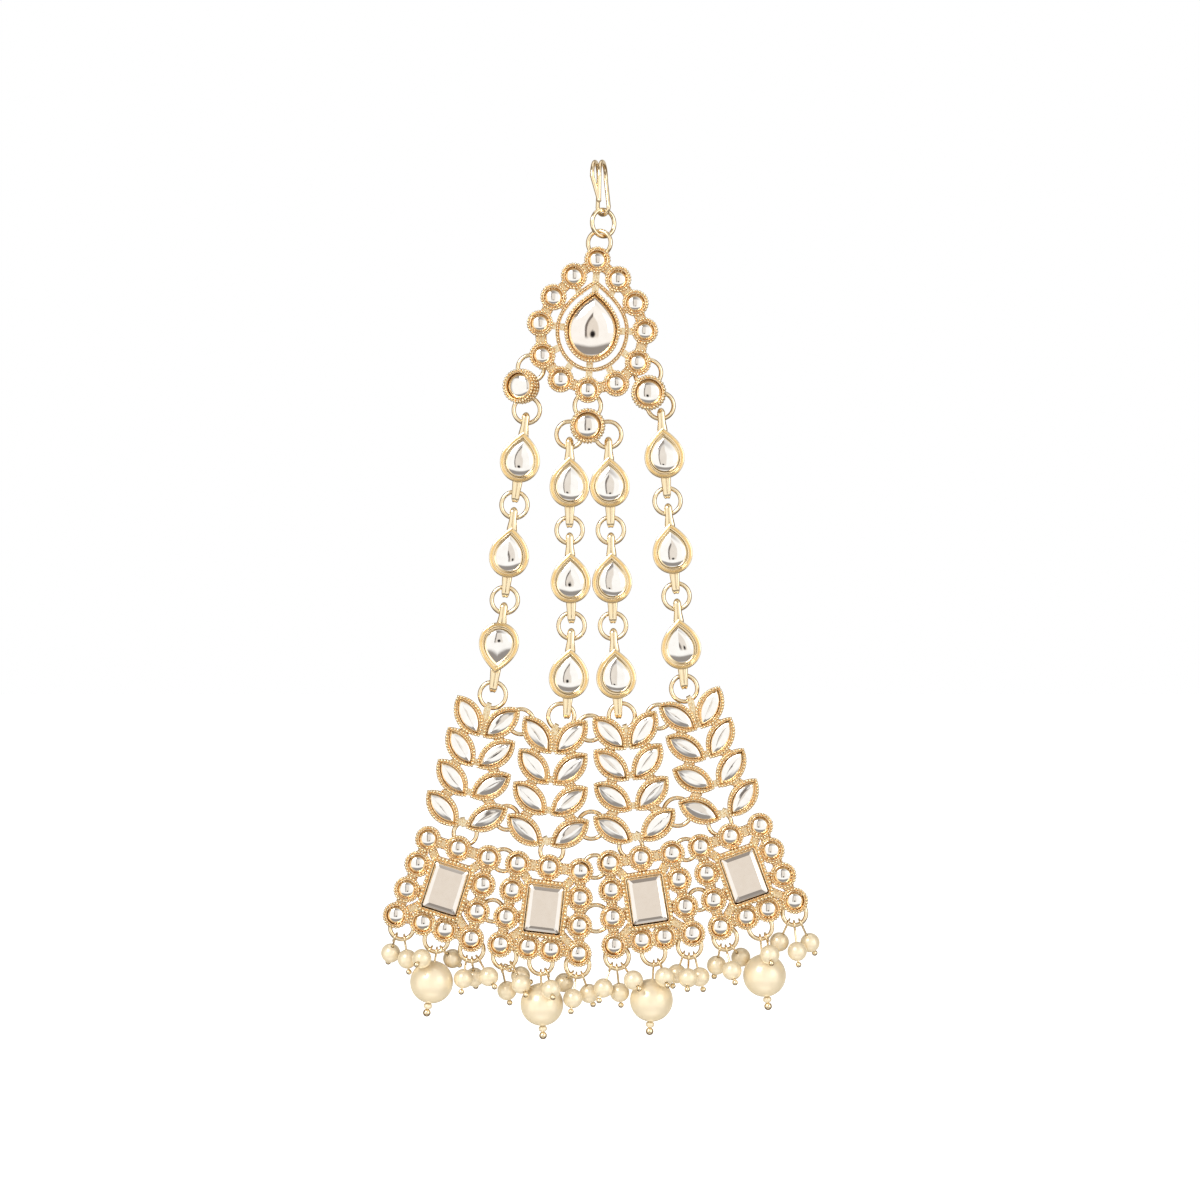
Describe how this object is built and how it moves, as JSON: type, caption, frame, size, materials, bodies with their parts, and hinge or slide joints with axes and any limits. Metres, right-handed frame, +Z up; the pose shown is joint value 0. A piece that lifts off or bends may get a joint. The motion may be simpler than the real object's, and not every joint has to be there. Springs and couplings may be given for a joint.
{
  "type": "passa jhoomar headpiece",
  "caption": "Side headpiece hung from one hook: a crown casting with a pear stone, strands of pear links, leaf-shaped panels and plaques of set stones, and a fringe of pearls.",
  "frame": {"origin": "inside of the top of the hook's bend, where it hangs on a strand of hair or a thread", "axes": "+X to the wearer's picture right, +Y to the back, +Z up; the front of the stones faces -Y"},
  "size_m": [0.084, 0.0126, 0.1675],
  "materials": {
    "polished_gold": "polished gold plate",
    "cast_gold": "gold plated casting with fine grain",
    "foiled_glass": "colourless foil-backed glass",
    "mirror_glass": "flat-topped foil-backed glass",
    "pearl": "cream imitation pearl"
  },
  "bodies": {
    "hook": {"hook": "polished_gold"},
    "drop": {"upper_ring": "polished_gold", "lower_ring": "polished_gold", "crown_frame": "cast_gold", "crown_pear_stone": "mirror_glass", "crown_round_stones": "foiled_glass", "stud_left": "cast_gold", "stud_centre": "cast_gold", "stud_right": "cast_gold", "stud_stones": "foiled_glass", "crown_rings": "polished_gold", "leaf_side_rings": "polished_gold", "panel_plaque_rings": "polished_gold", "plaque_side_rings": "polished_gold", "fringe_rings": "polished_gold", "strand_links_1": "polished_gold", "strand_links_2": "polished_gold", "strand_links_3": "polished_gold", "strand_links_4": "polished_gold", "strand_rings_1": "polished_gold", "strand_rings_2": "polished_gold", "strand_rings_3": "polished_gold", "strand_rings_4": "polished_gold", "strand_stones_1": "foiled_glass", "strand_stones_2": "foiled_glass", "strand_stones_3": "foiled_glass", "strand_stones_4": "foiled_glass", "leaf_panel_1": "cast_gold", "leaf_panel_2": "cast_gold", "leaf_panel_3": "cast_gold", "leaf_panel_4": "cast_gold", "leaf_stones_1": "foiled_glass", "leaf_stones_2": "foiled_glass", "leaf_stones_3": "foiled_glass", "leaf_stones_4": "foiled_glass", "plaque_1": "cast_gold", "plaque_2": "cast_gold", "plaque_3": "cast_gold", "plaque_4": "cast_gold", "plaque_centre_stone_1": "mirror_glass", "plaque_centre_stone_2": "mirror_glass", "plaque_centre_stone_3": "mirror_glass", "plaque_centre_stone_4": "mirror_glass", "plaque_round_stones_1": "foiled_glass", "plaque_round_stones_2": "foiled_glass", "plaque_round_stones_3": "foiled_glass", "plaque_round_stones_4": "foiled_glass", "large_pearl_1": "pearl", "large_pearl_2": "pearl", "large_pearl_3": "pearl", "large_pearl_4": "pearl", "headpins_1": "polished_gold", "headpins_2": "polished_gold", "headpins_3": "polished_gold", "headpins_4": "polished_gold", "small_pearls_1": "pearl", "small_pearls_2": "pearl", "small_pearls_3": "pearl", "small_pearls_4": "pearl"}
  },
  "joints": [
    {"name": "drop_swing", "type": "hinge", "parent": "hook", "child": "drop", "pos_m": [0.0008, 0.003, -0.00855], "axis": [1, 0, 0], "range_deg": [-35, 35]}
  ]
}
